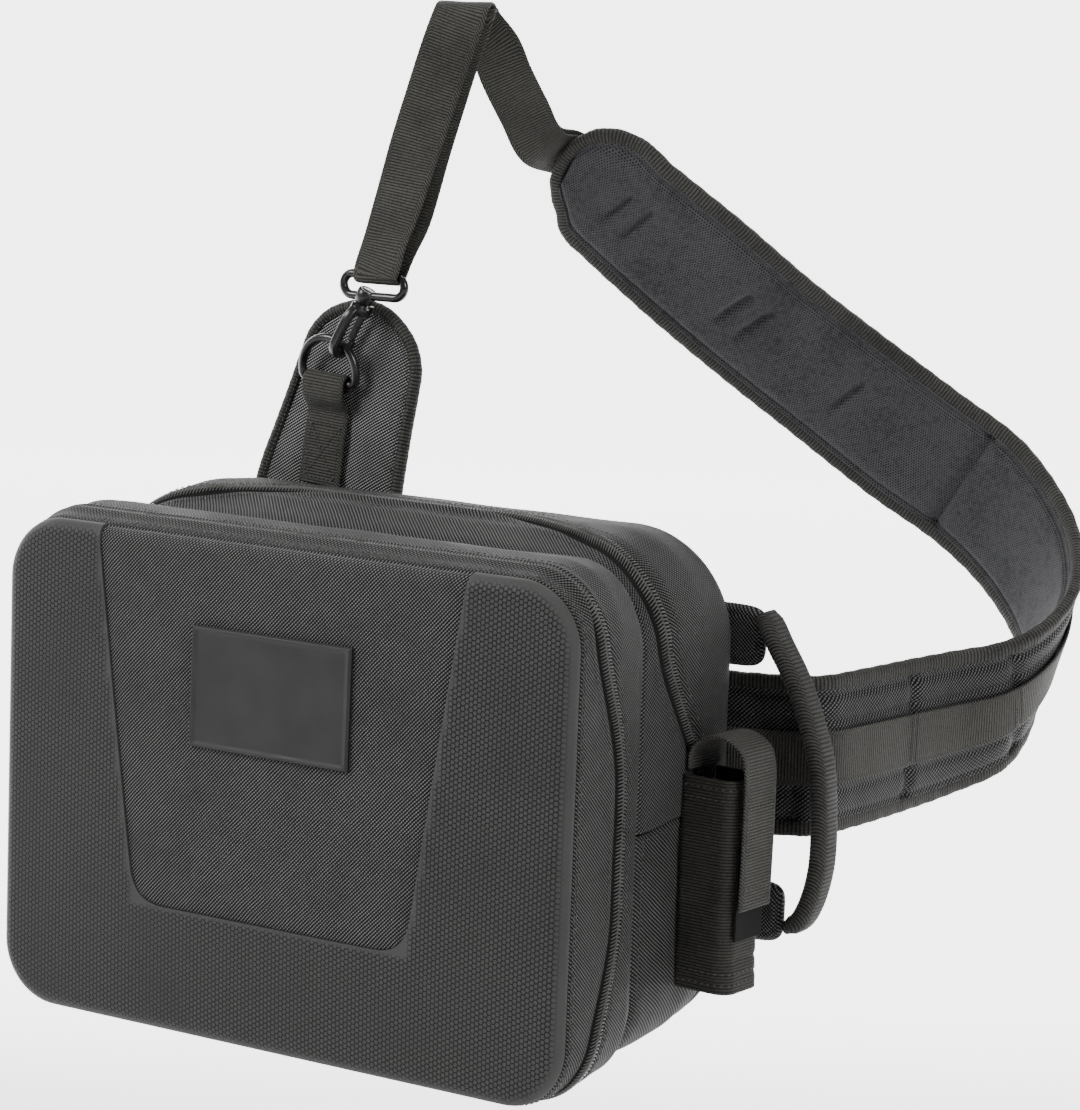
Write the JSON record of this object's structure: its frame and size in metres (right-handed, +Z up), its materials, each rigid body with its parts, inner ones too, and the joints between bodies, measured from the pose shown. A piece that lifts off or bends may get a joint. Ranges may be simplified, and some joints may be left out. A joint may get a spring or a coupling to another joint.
{
  "type": "fishing tackle sling bag",
  "caption": "Boxy two-compartment tackle bag with a moulded front, a side tool sheath, a grab handle and a padded body sling.",
  "frame": {"origin": "where the sling hangs: the middle of the underside of its highest fold", "axes": "+Z up with the strap hanging, +X towards the bag's tool side, +Y towards the bag's back; the moulded front faces -Y"},
  "size_m": [0.4022, 0.367, 0.4646],
  "materials": {
    "shell_foam": "hex-embossed moulded foam with a soft sheen",
    "bag_fabric": "coarse woven nylon",
    "webbing": "ribbed woven webbing",
    "badge_rubber": "matt moulded rubber",
    "zipper_coil": "moulded coil",
    "hardware_plastic": "smooth black plastic",
    "pad_mesh": "knitted spacer mesh"
  },
  "bodies": {
    "bag": {"front_shell": "shell_foam", "centre_panel": "bag_fabric", "badge": "badge_rubber", "front_gusset": "bag_fabric", "front_zipper": "zipper_coil", "valley_gusset": "bag_fabric", "divider": "bag_fabric", "hood_panel": "bag_fabric", "main_zipper": "zipper_coil", "lower_panel": "bag_fabric", "back_shell": "bag_fabric", "front_slider": "hardware_plastic", "main_slider": "hardware_plastic", "tool_sheath": "webbing", "tool_patch": "pad_mesh", "tool_flap": "webbing", "handle": "webbing", "handle_anchor_upper": "bag_fabric", "handle_anchor_lower": "bag_fabric", "shield_tab": "bag_fabric", "shield_binding": "webbing", "ring_webbing": "webbing", "d_ring": "hardware_plastic", "strap_ring": "hardware_plastic", "sling_webbing": "webbing", "web_keeper": "hardware_plastic", "sling_pad": "pad_mesh", "pad_binding": "webbing", "load_webbing": "webbing"},
    "swivel_hook": {"hook": "hardware_plastic"},
    "hook_gate": {"gate": "hardware_plastic"}
  },
  "joints": [
    {"name": "hook_swivel", "type": "hinge", "parent": "bag", "child": "swivel_hook", "pos_m": [-0.0266, -0.03698, -0.13263], "axis": [0.4695, 0, 0.8829], "range_deg": [-10, 10]},
    {"name": "gate_hinge", "type": "hinge", "parent": "swivel_hook", "child": "hook_gate", "pos_m": [-0.03144, -0.03157, -0.14172], "axis": [-0.8829, 0, 0.4695], "range_deg": [0, 24], "stiffness_Nm_per_rad": 0.008, "springref_deg": -17.19}
  ]
}
